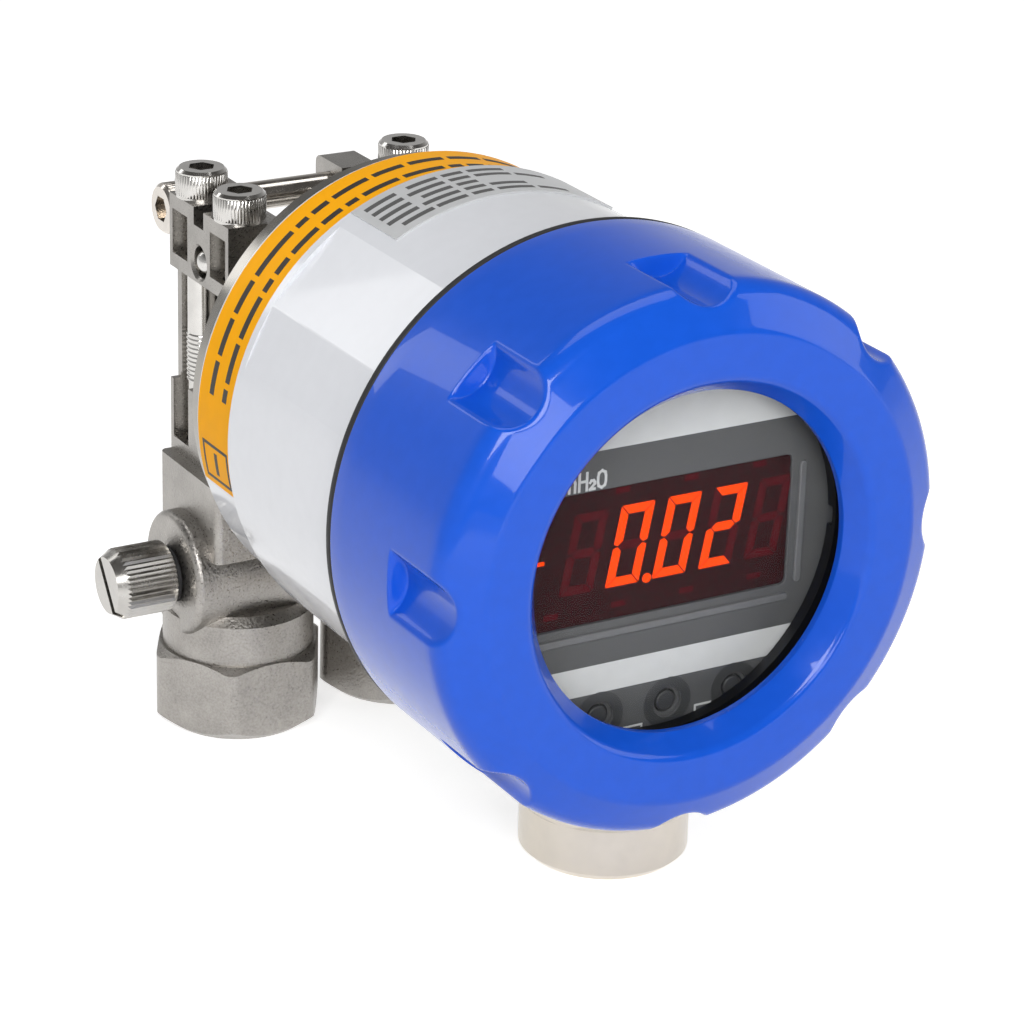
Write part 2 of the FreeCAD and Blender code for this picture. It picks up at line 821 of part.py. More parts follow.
nodes["sensor_body"] = make_sensor_body()
nodes["neck_nut"] = make_lock_nut()


# ---------------------------------------------------------------- clamp flange
def make_flange():
    """Low-side flange; the high side is the same casting turned half round."""
    out, inn, h = -flange_outer, -flange_inner, flange_half_height
    y0, y1 = cell_y - flange_depth / 2, cell_y + flange_depth / 2
    waist_top, waist_low = h - flange_head_height, flange_foot_height - h
    body = box(out, inn, y0, y1, -h, h)
    cuts = [
        # the waist stands back from the face and is hollowed so that the bolts show
        box(out - 1, out + waist_recess, y0 - 1, y1 + 1, waist_low, waist_top),
        box(out - 1, inn - waist_floor, y0 + waist_wall, y1 - waist_wall, waist_low, waist_top),
        box(out - 1, out + top_slot_reach, cell_y - top_slot_width / 2,
            cell_y + top_slot_width / 2, h - top_slot_depth, h + 1)]
    for side in (-1, 1):
        y = cell_y + side * bolt_spacing / 2
        half = bolt_slot_width / 2
        for z0, z1 in ((waist_top + bolt_bridge, h - bolt_bridge),
                       (bolt_bridge - h, waist_low + 1)):
            cuts.append(box(out - 1, -bolt_x, y - half, y + half, z0, z1))
            cuts.append(rod(half, V(-bolt_x, y, z0), V(-bolt_x, y, z1)))
        cuts.append(rod(bolt_r + bolt_clearance, V(-bolt_x, y, -h - 1), V(-bolt_x, y, h + 1)))
    fill_z = h - fill_hole_drop
    cuts.append(turned([(0, -1), (fill_hole_r + fill_hole_chamfer + 1, -1),
                        (fill_hole_r, fill_hole_chamfer), (fill_hole_r, fill_hole_depth),
                        (0, fill_hole_depth)], V(out, cell_y, fill_z), X, Y))
    # pressure chamber, its seal groove and the passage down to the foot
    cuts.append(rod(chamber_r, V(inn - chamber_depth, cell_y, 0), V(inn + 1, cell_y, 0)))
    cuts.append(tube(cell_seal_outer_r + groove_clearance, cell_seal_inner_r - groove_clearance,
                     V(inn - cell_seal_wall, cell_y, 0), V(inn + 1, cell_y, 0)))
    cuts.append(rod(way_r, V(-way_x, cell_y, -h - 1), V(-way_x, cell_y, -way_height)))
    cuts.append(rod(cross_way_r, V(-way_x, cell_y, -way_height),
                    V(inn - chamber_depth / 2, cell_y, -way_height)))
    body = body.cut(cuts)
    # ears: plain ones take the tie bolts' heads, long ones their threads
    ears, bores = [], []
    for side, level, long_ear in ((1, 1, False), (-1, 1, True), (-1, -1, False), (1, -1, True)):
        inset = long_ear_inset if long_ear else short_ear_inset
        width = long_ear_width if long_ear else short_ear_width
        face = cell_y + side * flange_depth / 2
        tip = face + side * ear_reach
        z = level * tie_z
        half = flange_half_height - tie_z
        ear = box(out + inset, out + inset + width, min(face, tip), max(face, tip), z - half,
                  z + half)
        ear = ear.makeFillet(ear_round, edges_along(ear, X, lambda m: abs(m.y - tip) < 0.01))
        ears.append(ear)
        r = bolt_r + (screw_hole_clearance if long_ear else bolt_clearance)
        y = cell_y + side * tie_y
        bores.append(rod(r, V(out, y, z), V(0, y, z)))
        if not long_ear:  # relief in the flange's edge for the bolt's head
            bores.append(rod(bolt_head_r + bolt_head_clearance, V(out - 1, y, z),
                             V(out + inset, y, z)))
    return fused(body, *ears).cut(bores)


nodes["flange_low"] = make_flange()
nodes["flange_high"] = half_turn(nodes["flange_low"])
ball_x = -flange_outer + fill_hole_depth - fill_ball_r
nodes["fill_ball_low"] = Part.makeSphere(
    fill_ball_r, V(ball_x, cell_y, flange_half_height - fill_hole_drop))
nodes["fill_ball_high"] = half_turn(nodes["fill_ball_low"])
nodes["diaphragm_low"] = rod(diaphragm_r, V(-flange_inner - diaphragm_wall, cell_y, 0),
                             V(-flange_inner, cell_y, 0))
nodes["diaphragm_high"] = half_turn(nodes["diaphragm_low"])
nodes["cell_seal_low"] = tube(cell_seal_outer_r, cell_seal_inner_r,
                              V(-flange_inner - cell_seal_wall, cell_y, 0),
                              V(-flange_inner, cell_y, 0))
nodes["cell_seal_high"] = half_turn(nodes["cell_seal_low"])


def make_tie(side, level):
    """Bolt with its head on the low side's plain ear and its thread in the far flange's."""
    seat = V(-flange_outer + short_ear_inset, cell_y + side * tie_y, level * tie_z)
    end = flange_outer - long_ear_inset - tie_end_gap
    return socket_screw(seat, X, bolt_r, end - seat.x, bolt_head_r, bolt_head_height, bolt_hex,
                        bolt_hex_depth, bolt_head_chamfer)


ties = [make_tie(1, 1), make_tie(-1, -1)]
nodes["tie_bolts"] = Part.makeCompound(ties + [half_turn(t) for t in ties])

clamp_length = 2 * flange_half_height + bolt_engagement - bolt_end_gap
clamp_pair = [socket_screw(V(-bolt_x, cell_y + s * bolt_spacing / 2, flange_half_height), Z * -1,
                           bolt_r, clamp_length, bolt_head_r, bolt_head_height, bolt_hex,
                           bolt_hex_depth, bolt_head_chamfer) for s in (-1, 1)]
nodes["clamp_bolts"] = Part.makeCompound(clamp_pair + [half_turn(b) for b in clamp_pair])


# ---------------------------------------------------------------- process connectors
def make_connector():
    top = -flange_half_height
    at = V(-port_x, cell_y, 0)
    y0, y1 = cell_y - flange_depth / 2, cell_y + flange_depth / 2
    block = box(-port_x - block_half_width, -port_x + block_half_width, y0, y1,
                top - block_drop, top)
    block = block.makeFillet(block_round, edges_along(block, Z, lambda m: True))
    tee_out, tee_in = -port_x - tee_reach, -port_x + tee_inner_reach
    tee = rod(tee_r, V(tee_out, cell_y, -tee_drop), V(tee_in, cell_y, -tee_drop))
    tee = tee.makeFillet(tee_round, circles_at(tee, tee_r, tee_out, X)
                         + circles_at(tee, tee_r, tee_in, X))
    pipe = turned([(0, -hex_top - 1), (neck_pipe_r, -hex_top - 1),
                   (neck_pipe_r, -neck_pipe_top - 1.5), (neck_pipe_r - 1.5, -neck_pipe_top),
                   (0, -neck_pipe_top)], at, Z, X)
    base = -axis_height
    hex_r, corner_r, c = hex_flats / 2, hex_flats / math.sqrt(3), hex_chamfer
    nut = hexagon(hex_flats, at + Z * base, Z * (axis_height - hex_top), X)
    nut = nut.makeFillet(hex_corner_round, edges_along(nut, Z, lambda m: True))
    nut = nut.common(turned([(0, base), (hex_r - hex_foot_chamfer, base),
                             (corner_r, base + hex_foot_slope), (corner_r, -hex_top - c),
                             (hex_r, -hex_top), (0, -hex_top)], at, Z, X))
    solid = fused(block, tee, pipe, nut)
    port_top = base + port_depth
    cuts = [
        turned([(0, base - 1), (port_r, base - 1), (port_r, port_top), (port_way_r, port_top + 4),
                (port_way_r, -tee_drop), (0, -tee_drop)], at, Z, X),
        rod(way_r, V(-way_x, cell_y, -tee_drop - 2), V(-way_x, cell_y, top + 1)),
        tube(process_seal_outer_r + groove_clearance, process_seal_inner_r - groove_clearance,
             V(-way_x, cell_y, top - process_seal_wall), V(-way_x, cell_y, top + 1)),
        rod(vent_stem_r + vent_fit, V(tee_out - 1, cell_y, -tee_drop),
            V(tee_out + vent_bore_length, cell_y, -tee_drop)),
        rod(vent_seat_r, V(tee_out, cell_y, -tee_drop), V(-port_x, cell_y, -tee_drop))]
    for s in (-1, 1):
        y = cell_y + s * bolt_spacing / 2
        cuts.append(rod(bolt_r + screw_hole_clearance, V(-bolt_x, y, top - bolt_engagement),
                        V(-bolt_x, y, top + 1)))
    return solid.cut(cuts)


nodes["connector_low"] = make_connector()
nodes["connector_high"] = mirrored(nodes["connector_low"])
seal_at = V(-way_x, cell_y, -flange_half_height)
nodes["process_seal_low"] = tube(process_seal_outer_r, process_seal_inner_r,
                                 seal_at - Z * process_seal_wall, seal_at)
nodes["process_seal_high"] = half_turn(nodes["process_seal_low"])


# ---------------------------------------------------------------- vent valves
def make_vent_valve():
    face = -port_x - tee_reach
    inner = face - vent_seal_wall - 2 * vent_seal_gap
    outer = inner - knob_length
    axis = V(0, cell_y, -tee_drop)
    points = []
    for k in range(2 * knob_teeth):
        r = knob_r if k % 2 == 0 else knob_r - knob_tooth
        a = math.pi * k / knob_teeth
        points.append(V(outer, cell_y + r * math.cos(a), -tee_drop + r * math.sin(a)))
    knurl = Part.Face(Part.makePolygon(points + points[:1])).extrude(X * knob_length)
    c = knob_chamfer
    knob = knurl.common(turned([(0, outer), (knob_r - c, outer),
                                (knob_r, outer + knob_chamfer_length),
                                (knob_r, inner - c / 3), (knob_r - c / 3, inner), (0, inner)],
                               axis, X, Y))
    tip = face + vent_bore_length - vent_seat_gap
    stem = turned([(0, inner - 0.5), (vent_stem_r, inner - 0.5),
                   (vent_stem_r, tip - vent_tip_chamfer), (vent_stem_r - vent_tip_chamfer, tip),
                   (0, tip)], axis, X, Y)
    slot = box(outer - 1, outer + knob_slot_depth, cell_y - knob_slot_width / 2,
               cell_y + knob_slot_width / 2, -tee_drop - knob_r - 1, -tee_drop + knob_r + 1)
    slot.rotate(axis, X, -knob_slot_angle)
    return fused(knob, stem).cut(slot)


def make_vent_seal():
    face = -port_x - tee_reach
    near, far = face - vent_seal_gap, face - vent_seal_gap - vent_seal_wall
    seal = tube(vent_seal_r, vent_stem_r + vent_fit, V(far, cell_y, -tee_drop),
                V(near, cell_y, -tee_drop))
    return seal.makeFillet(0.35, circles_at(seal, vent_seal_r, near, X)
                           + circles_at(seal, vent_seal_r, far, X))


nodes["vent_valve_low"] = make_vent_valve()
nodes["vent_valve_high"] = half_turn(nodes["vent_valve_low"])
nodes["vent_seal_low"] = make_vent_seal()
nodes["vent_seal_high"] = half_turn(nodes["vent_seal_low"])


# ---------------------------------------------------------------- labels
def arc_strip(r, wall, y0, y1, half_angle):
    """Thin curved strip centred on the top of the housing."""
    strip = Part.Face(Part.makePolygon([V(0, y0, r), V(0, y1, r), V(0, y1, r + wall),
                                        V(0, y0, r + wall), V(0, y0, r)]))
    strip = strip.revolve(V(0, 0, 0), Y, 2 * half_angle)
    strip.rotate(V(0, 0, 0), Y, -half_angle)
    return strip


band_front = rear_front + band_margin
nodes["colour_band"] = arc_strip(rear_r, band_wall, band_front, band_front + band_width,
                                 band_half_angle)
plate_rear = step_front - plate_margin
nodes["rating_plate"] = arc_strip(body_r, plate_wall, plate_rear - plate_width, plate_rear,
                                  plate_half_angle)

# ---------------------------------------------------------------- export
os.makedirs("parts", exist_ok=True)
for name, shape in nodes.items():
    place(shape).exportStep("parts/%s.step" % name)
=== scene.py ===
import math
import bpy
from mathutils import Matrix, Vector


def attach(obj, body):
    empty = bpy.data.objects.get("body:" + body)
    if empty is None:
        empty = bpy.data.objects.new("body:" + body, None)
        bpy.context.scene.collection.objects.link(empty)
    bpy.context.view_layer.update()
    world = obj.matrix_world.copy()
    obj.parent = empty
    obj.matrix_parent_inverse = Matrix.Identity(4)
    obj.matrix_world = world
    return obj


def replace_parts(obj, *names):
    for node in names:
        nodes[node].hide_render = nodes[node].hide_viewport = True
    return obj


# Differential pressure transmitter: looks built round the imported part.
# Helper coordinates are millimetres in the housing's own frame: X to the right as the display
# is read, Y back along the axis from the cap's front face, Z up from the axis. Angles are in
# degrees from +X towards +Z.
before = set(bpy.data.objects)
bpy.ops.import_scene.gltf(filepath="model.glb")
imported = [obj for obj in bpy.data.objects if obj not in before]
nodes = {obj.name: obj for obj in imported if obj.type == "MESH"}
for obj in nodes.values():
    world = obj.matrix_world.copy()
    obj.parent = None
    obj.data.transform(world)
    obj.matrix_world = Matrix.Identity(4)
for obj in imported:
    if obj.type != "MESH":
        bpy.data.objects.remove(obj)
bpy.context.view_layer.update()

AXIS_HEIGHT = 69.0
HALF_DEPTH = 70.5


def at(x, y, z):
    """Scene position, in metres, of a point in helper coordinates."""
    return Vector((x, y - HALF_DEPTH, z + AXIS_HEIGHT)) / 1000.0


def polar(r, angle, y):
    """The same for a point at radius r and an angle about the housing axis."""
    a = math.radians(angle)
    return at(r * math.cos(a), y, r * math.sin(a))


# ------------------------------------------------------------------ materials
def new_material(name):
    """A new material, its node tree, the call that links two sockets, and its shader."""
    m = bpy.data.materials.new(name)
    m.use_nodes = True
    tree = m.node_tree
    return m, tree, tree.links.new, tree.nodes["Principled BSDF"]


def noise(tree, scale, detail=3.0):
    n = tree.nodes.new("ShaderNodeTexNoise")
    n.inputs["Scale"].default_value = scale
    n.inputs["Detail"].default_value = detail
    tree.links.new(position(tree), n.inputs["Vector"])
    return n.outputs["Fac"]


def position(tree):
    return tree.nodes.new("ShaderNodeTexCoord").outputs["Object"]


def spread(tree, value, low, high):
    """Map the middle of a noise's range to low..high."""
    r = tree.nodes.new("ShaderNodeMapRange")
    for key, v in (("From Min", 0.3), ("From Max", 0.7), ("To Min", low), ("To Max", high)):
        r.inputs[key].default_value = v
    tree.links.new(value, r.inputs["Value"])
    return r.outputs["Result"]


def tint(tree, value, a, b, lo=0.3, hi=0.7):
    ramp = tree.nodes.new("ShaderNodeValToRGB")
    ramp.color_ramp.elements[0].position, ramp.color_ramp.elements[1].position = lo, hi
    ramp.color_ramp.elements[0].color, ramp.color_ramp.elements[1].color = (*a, 1), (*b, 1)
    tree.links.new(value, ramp.inputs["Fac"])
    return ramp.outputs["Color"]


def bump(tree, bsdf, height, strength, distance):
    b = tree.nodes.new("ShaderNodeBump")
    b.inputs["Strength"].default_value = strength
    b.inputs["Distance"].default_value = distance
    tree.links.new(height, b.inputs["Height"])
    tree.links.new(b.outputs["Normal"], bsdf.inputs["Normal"])


def math_node(tree, operation, a, b):
    n = tree.nodes.new("ShaderNodeMath")
    n.operation = operation
    tree.links.new(a, n.inputs[0])
    tree.links.new(b, n.inputs[1])
    return n.outputs["Value"]


def shade(color, k):
    return tuple(min(1.0, c * k) for c in color)


def finish_material(name, color, metallic=0.0, rough=(0.3, 0.4), vary=0.06, grain=400.0,
                    relief=(0.1, 0.00002), relief_scale=1500.0, coat=0.0, detail=3.0):
    """Paint, plating, plastic or print, with slight blotches and a fine relief."""
    m, tree, link, bsdf = new_material(name)
    bsdf.inputs["Metallic"].default_value = metallic
    bsdf.inputs["Coat Weight"].default_value = coat
    bsdf.inputs["Coat Roughness"].default_value = 0.03
    blotch = noise(tree, grain, detail)
    link(tint(tree, blotch, shade(color, 1 - vary), shade(color, 1 + vary)),
         bsdf.inputs["Base Color"])
    link(spread(tree, blotch, *rough), bsdf.inputs["Roughness"])
    bump(tree, bsdf, noise(tree, relief_scale, 4.0), *relief)
    return m


def turned_material(name, color, direction, rough=(0.2, 0.3), pitch=0.35, blotchy=0.09):
    """Lathe marks: fine rings spaced pitch millimetres apart along one direction."""
    m, tree, link, bsdf = new_material(name)
    bsdf.inputs["Metallic"].default_value = 1.0
    wave = tree.nodes.new("ShaderNodeTexWave")
    wave.bands_direction = direction
    wave.inputs["Scale"].default_value = 1000.0 / pitch / 20.0
    wave.inputs["Distortion"].default_value = 1.5
    wave.inputs["Detail"].default_value = 3.0
    link(position(tree), wave.inputs["Vector"])
    blotch = noise(tree, 260.0)
    link(tint(tree, blotch, shade(color, 1 - blotchy), shade(color, 1 + blotchy)),
         bsdf.inputs["Base Color"])
    link(spread(tree, noise(tree, 900.0), *rough), bsdf.inputs["Roughness"])
    bump(tree, bsdf, wave.outputs["Fac"], 0.12, 0.00003)
    return m


def cast_material(name, color, rough, speck, depth=0.00012):
    """Blasted investment casting: fine pits over soft waviness, speckled by the share speck."""
    m, tree, link, bsdf = new_material(name)
    bsdf.inputs["Metallic"].default_value = 1.0
    blotch = noise(tree, 180.0, 5.0)
    fine = noise(tree, 2600.0, 3.0)
    dark = tint(tree, fine, shade(color, 0.8 - speck), shade(color, 0.92 + speck), 0.36, 0.64)
    light = tint(tree, fine, shade(color, 1.02 - speck), shade(color, 1.15 + speck), 0.36, 0.64)
    mix = tree.nodes.new("ShaderNodeMix")
    mix.data_type = "RGBA"
    link(spread(tree, blotch, 0.0, 1.0), mix.inputs["Factor"])
    link(dark, mix.inputs[6])
    link(light, mix.inputs[7])
    link(mix.outputs[2], bsdf.inputs["Base Color"])
    link(spread(tree, fine, *rough), bsdf.inputs["Roughness"])
    pits = tree.nodes.new("ShaderNodeTexVoronoi")
    pits.inputs["Scale"].default_value = 2200.0
    link(position(tree), pits.inputs["Vector"])
    bump(tree, bsdf, math_node(tree, "ADD", fine, pits.outputs["Distance"]), 0.35, depth)
    return m


def glow_material(name, color, strength):
    m, tree, link, bsdf = new_material(name)
    grain = tint(tree, noise(tree, 2500.0), shade(color, 0.92), color)
    link(grain, bsdf.inputs["Base Color"])
    link(grain, bsdf.inputs["Emission Color"])
    bsdf.inputs["Emission Strength"].default_value = strength
    bsdf.inputs["Roughness"].default_value = 0.5
    return m


def glass_material(name):
    m, tree, link, bsdf = new_material(name)
    bsdf.inputs["Alpha"].default_value = 0.10
    link(spread(tree, noise(tree, 300.0), 0.01, 0.03), bsdf.inputs["Roughness"])
    link(tint(tree, noise(tree, 60.0), (0.004, 0.006, 0.006), (0.008, 0.01, 0.01)),
         bsdf.inputs["Base Color"])
    bsdf.inputs["IOR"].default_value = 1.5
    return m


def board_material(name):
    """Solder mask with the raised pattern of tracks under it."""
    m, tree, link, bsdf = new_material(name)
    brick = tree.nodes.new("ShaderNodeTexBrick")
    brick.inputs["Scale"].default_value = 260.0
    brick.inputs["Color1"].default_value = (0.012, 0.085, 0.035, 1)
    brick.inputs["Color2"].default_value = (0.016, 0.11, 0.045, 1)
    brick.inputs["Mortar"].default_value = (0.03, 0.19, 0.08, 1)
    link(position(tree), brick.inputs["Vector"])
    link(brick.outputs["Color"], bsdf.inputs["Base Color"])
    link(spread(tree, noise(tree, 500.0), 0.25, 0.4), bsdf.inputs["Roughness"])
    bump(tree, bsdf, brick.outputs["Fac"], 0.2, 0.00003)
    return m


BLUE = (0.007, 0.088, 0.60)
cap_paint = finish_material("cap_enamel", BLUE, rough=(0.2, 0.26), vary=0.03, coat=0.4,
                            relief=(0.03, 0.00002), relief_scale=500.0)
housing_paint = finish_material("housing_enamel", (0.745, 0.76, 0.80), rough=(0.16, 0.2),
                                vary=0.01, coat=0.5, relief=(0.02, 0.00001),
                                relief_scale=250.0)
cast_steel = cast_material("cast_stainless", (0.37, 0.352, 0.33), rough=(0.24, 0.5),
                           speck=0.05)
flange_steel = cast_material("machined_casting", (0.34, 0.325, 0.305), rough=(0.24, 0.36),
                             speck=0.0, depth=0.00001)
clamp_steel = finish_material("clamp_screw_plating", (0.62, 0.605, 0.58), 1.0, (0.1, 0.2),
                              relief=(0.03, 0.00001))
tie_steel = finish_material("tie_screw_plating", (0.66, 0.62, 0.57), 1.0, (0.1, 0.2),
                            relief=(0.03, 0.00001))
dark_polish = finish_material("rear_polish", (0.34, 0.325, 0.30), 1.0, (0.12, 0.2),
                              relief=(0.04, 0.00002))
bright_steel = finish_material("bright_stainless", (0.64, 0.63, 0.61), 1.0, (0.14, 0.26),
                               relief=(0.06, 0.00002))
knob_steel = finish_material("knob_stainless", (0.50, 0.485, 0.46), 1.0, (0.16, 0.3),
                             relief=(0.06, 0.00002))
turned_y = turned_material("turned_stainless_y", (0.56, 0.55, 0.53), "Y")
nickel = turned_material("nickel_plating", (0.62, 0.57, 0.49), "Z", rough=(0.18, 0.26),
                         blotchy=0.03)
zinc = finish_material("zinc_plating", (0.62, 0.62, 0.58), 1.0, (0.25, 0.4))
rubber = finish_material("black_rubber", (0.012, 0.012, 0.013), rough=(0.5, 0.65),
                         relief=(0.2, 0.00004))
ring_black = finish_material("black_anodising", (0.012, 0.012, 0.013), 0.3, (0.35, 0.45))
bezel_grey = finish_material("bezel_grey", (0.135, 0.138, 0.14), rough=(0.38, 0.46), vary=0.04)
# the ribs' lighter grey is a painted highlight, standing for the light their edges catch
rib_grey_painted_highlight = finish_material("rib_grey_painted_highlight", (0.20, 0.205, 0.21), rough=(0.34, 0.42), vary=0.04)
button_grey = finish_material("button_grey", (0.07, 0.072, 0.076), rough=(0.35, 0.45))
filter_red = finish_material("filter_red", (0.034, 0.004, 0.006), rough=(0.3, 0.36), vary=0.5,
                             grain=2600.0, detail=1.0, relief=(0.02, 0.00001))
led_black = finish_material("led_body", (0.02, 0.02, 0.02), rough=(0.4, 0.5))
plastic_dark = finish_material("terminal_plastic", (0.03, 0.03, 0.033), rough=(0.35, 0.5))
green = board_material("solder_mask")
window = glass_material("window_glass")
orange = finish_material("orange_film", (0.98, 0.43, 0.006), rough=(0.34, 0.4), vary=0.02,
                         relief=(0.03, 0.00001))
silver = finish_material("silver_film", (0.62, 0.63, 0.64), 0.2, (0.3, 0.4), vary=0.03,
                         relief=(0.05, 0.00001))
ink = finish_material("print_ink", (0.018, 0.016, 0.014), rough=(0.45, 0.55))
grey_ink = finish_material("grey_ink", (0.09, 0.09, 0.09), rough=(0.45, 0.55))
white_print = finish_material("white_print", (0.90, 0.92, 0.91), rough=(0.4, 0.5), vary=0.03)
# dark grey for the rings round the buttons: painted shade round each button's edge
button_ring_painted_shade = finish_material("button_ring_painted_shade", (0.07, 0.072, 0.074), rough=(0.3, 0.4), vary=0.04)
lit = glow_material("lit_segment", (1.0, 0.055, 0.0012), 0.95)
unlit = finish_material("unlit_segment", (0.105, 0.005, 0.010), rough=(0.4, 0.5), vary=0.3,
                        grain=2600.0)

LOOKS = {
    cap_paint: ["cap"],
    housing_paint: ["housing"],
    cast_steel: ["connector_low", "connector_high"],
    flange_steel: ["flange_low", "flange_high"],
    bright_steel: ["plate_screws", "fill_ball_low", "fill_ball_high", "diaphragm_low",
                   "diaphragm_high"],
    knob_steel: ["vent_valve_low", "vent_valve_high"],
    clamp_steel: ["clamp_bolts"],
    tie_steel: ["tie_bolts"],
    dark_polish: ["rear_plate"],
    turned_y: ["sensor_body", "neck_nut"],
    nickel: ["conduit_adapter"],
    zinc: ["display_screws", "display_standoffs", "board_posts", "board_screws",
           "terminal_screws"],
    rubber: ["glass_gasket", "cap_seal", "conduit_seal", "rear_seal", "cell_seal_low",
             "cell_seal_high", "process_seal_low", "process_seal_high", "vent_seal_low",
             "vent_seal_high"],
    ring_black: ["glass_retaining_ring"],
    bezel_grey: ["display_bezel"],
    button_grey: ["push_button_1", "push_button_2", "push_button_3"],
    filter_red: ["led_filter"],
    led_black: ["led_module"],
    plastic_dark: ["button_switches", "terminal_block"],
    green: ["display_board", "power_board"],
    window: ["window_glass"],
    orange: ["colour_band"],
    silver: ["rating_plate"],
}
# flat finishes reflect less than the shader's own level of 0.5
for film, level in ((cap_paint, 0.12), (orange, 0.04), (filter_red, 0.06), (bezel_grey, 0.3),
                    (lit, 0.05), (unlit, 0.05)):
    film.node_tree.nodes["Principled BSDF"].inputs["Specular IOR Level"].default_value = level
for look, names in LOOKS.items():
    for node_name in names:
        mesh = nodes[node_name].data
        mesh.materials.clear()
        mesh.materials.append(look)


# ------------------------------------------------------------------ mesh helpers
def piece(name, verts, faces, body, look, sharp=35.0):
    mesh = bpy.data.meshes.new(name)
    mesh.from_pydata(verts, [], faces)
    mesh.validate()
    mesh.materials.append(look)
    mesh.shade_smooth()
    mesh.set_sharp_from_angle(angle=math.radians(sharp))
    obj = bpy.data.objects.new(name, mesh)
    bpy.context.scene.collection.objects.link(obj)
    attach(obj, body)
    return obj


def soften(points, radii, steps=6):
    """Round the corners of a closed profile."""
    out = []
    count = len(points)
    for i, (p, r) in enumerate(zip(points, radii)):
        p0, p1, p2 = (Vector(points[i - 1]), Vector(p), Vector(points[(i + 1) % count]))
        a, b = (p0 - p1).normalized(), (p2 - p1).normalized()
        if r <= 0:
            out.append(tuple(p1))
            continue
        half = a.angle(b) / 2
        back = r / math.tan(half)
        centre = p1 + (a + b).normalized() * (r / math.sin(half))
        start, end = p1 + a * back - centre, p1 + b * back - centre
        sweep = start.angle_signed(end)
        for k in range(steps + 1):
            t = -sweep * k / steps
            out.append((centre.x + start.x * math.cos(t) - start.y * math.sin(t),
                        centre.y + start.x * math.sin(t) + start.y * math.cos(t)))
    return out


def densify(points, step):
    """Split long runs of a closed profile; step(r, y) gives the longest run there."""
    out = []
    for i, p in enumerate(points):
        q = points[(i + 1) % len(points)]
        length = math.dist(p, q)
        n = max(1, math.ceil(length / step((p[0] + q[0]) / 2, (p[1] + q[1]) / 2)))
        out += [(p[0] + (q[0] - p[0]) * k / n, p[1] + (q[1] - p[1]) * k / n) for k in range(n)]
    return out


def revolve(points, angles, radial=None):
    """Closed surface of revolution about the housing axis."""
    rows, cols = len(points), len(angles)
    verts = []
    for r, y in points:
        for a in angles:
            verts.append(polar(radial(a, r, y) if radial else r, a, y))
    faces = []
    for i in range(rows):
        j = (i + 1) % rows
        for k in range(cols):
            m = (k + 1) % cols
            faces.append((i * cols + k, j * cols + k, j * cols + m, i * cols + m))
    return verts, faces


# ------------------------------------------------------------------ cap
NOTCHES, NOTCH_R, NOTCH_CENTRE, NOTCH_END = 8, 5.8, 45.3, 16.5
CAP_R, SKIRT_R, SKIRT_END = 42.5, 38.4, 34.9    # outside, thread bore and rear face
RIM_R = 36.05                                  # where the front face turns to the shoulder


def soft_min(a, b, k):
    """The smaller of two values, blended over k where they meet."""
    h = max(k - abs(a - b), 0.0) / k
    return min(a, b) - h * h * k / 4


def smooth(t):
    """Ease from 0 to 1."""
    t = min(1.0, max(0.0, t))
    return t * t * (3 - 2 * t)


def cap_radius(angle, r, y):
    """Radius of the cap's skin where a finger notch cuts into it, blended at its edges."""
    if r < RIM_R or y > NOTCH_END + 0.6 or r < SKIRT_R + 0.2 and y > 12:
        return r
    pitch = 360.0 / NOTCHES
    phi = math.radians((angle + pitch / 2) % pitch - pitch / 2)
    side = NOTCH_CENTRE * math.sin(phi)
    if abs(side) >= NOTCH_R:
        return r
    groove = NOTCH_CENTRE * math.cos(phi) - math.sqrt(NOTCH_R ** 2 - side ** 2)
    cut = soft_min(r, groove, 0.9)
    back = smooth((y - NOTCH_END + 0.25) / 0.85)
    return cut + (r - cut) * back


def cap_angles():
    """Angles for the cap's mesh, close together where the notches are."""
    out = []
    for k in range(NOTCHES):
        middle = k * 360.0 / NOTCHES
        inner = [8.4 * i / 21 for i in range(-21, 22)]
        outer = [8.4 + 14.1 * i / 12 for i in range(1, 13)]
        out += [middle + a for a in inner + outer]
        out += [middle + 360.0 / NOTCHES - a for a in reversed(outer[:-1])]
    return out


profile = soften(
    [(26.3, 5.0), (26.3, 3.8), (28.9, 0.0), (36.0, 0.0), (CAP_R, 3.5), (CAP_R, SKIRT_END),
     (SKIRT_R, SKIRT_END), (SKIRT_R, 17.2), (36.6, 17.2), (36.6, 11.0), (31.2, 11.0), (31.2, 5.0)],
    [0.15, 0.5, 1.9, 2.6, 4.0, 0.5, 0.25, 0.1, 0.1, 0.1, 0.2, 0.1])


def cap_step(r, y):
    if r > RIM_R and y < 6.5:
        return 0.45
    if r > CAP_R - 0.5 and NOTCH_END - 0.6 < y < NOTCH_END + 1.0:
        return 0.12
    if r > CAP_R - 0.5 and y < NOTCH_END:
        return 1.2
    return 4.0


def fine_wall(points):
    """Extra rows where the finger notches end."""
    out = []
    for p, q in zip(points, points[1:] + points[:1]):
        out.append(p)
        if min(p[0], q[0]) > CAP_R - 0.5 and p[1] < NOTCH_END < q[1]:
            out += [(p[0], NOTCH_END - 0.6 + 0.1 * k) for k in range(17)]
    return out


verts, faces = revolve(densify(fine_wall(profile), cap_step), cap_angles(), cap_radius)
cap = piece("window_cap", verts, faces, "cap", cap_paint, sharp=60)
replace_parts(cap, "cap")

# the seal between cap and housing swells a little out of its gap
seal_profile = soften([(38.6, 34.95), (42.45, 34.98), (42.45, 36.3), (41.5, 36.3),
                       (41.5, 35.85), (38.6, 35.85)], [0.1, 0.4, 0.4, 0.1, 0, 0.1], 4)
verts, faces = revolve(seal_profile, [2.0 * k for k in range(180)])
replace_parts(piece("window_cap_seal", verts, faces, "transmitter", rubber),
            "cap_seal")

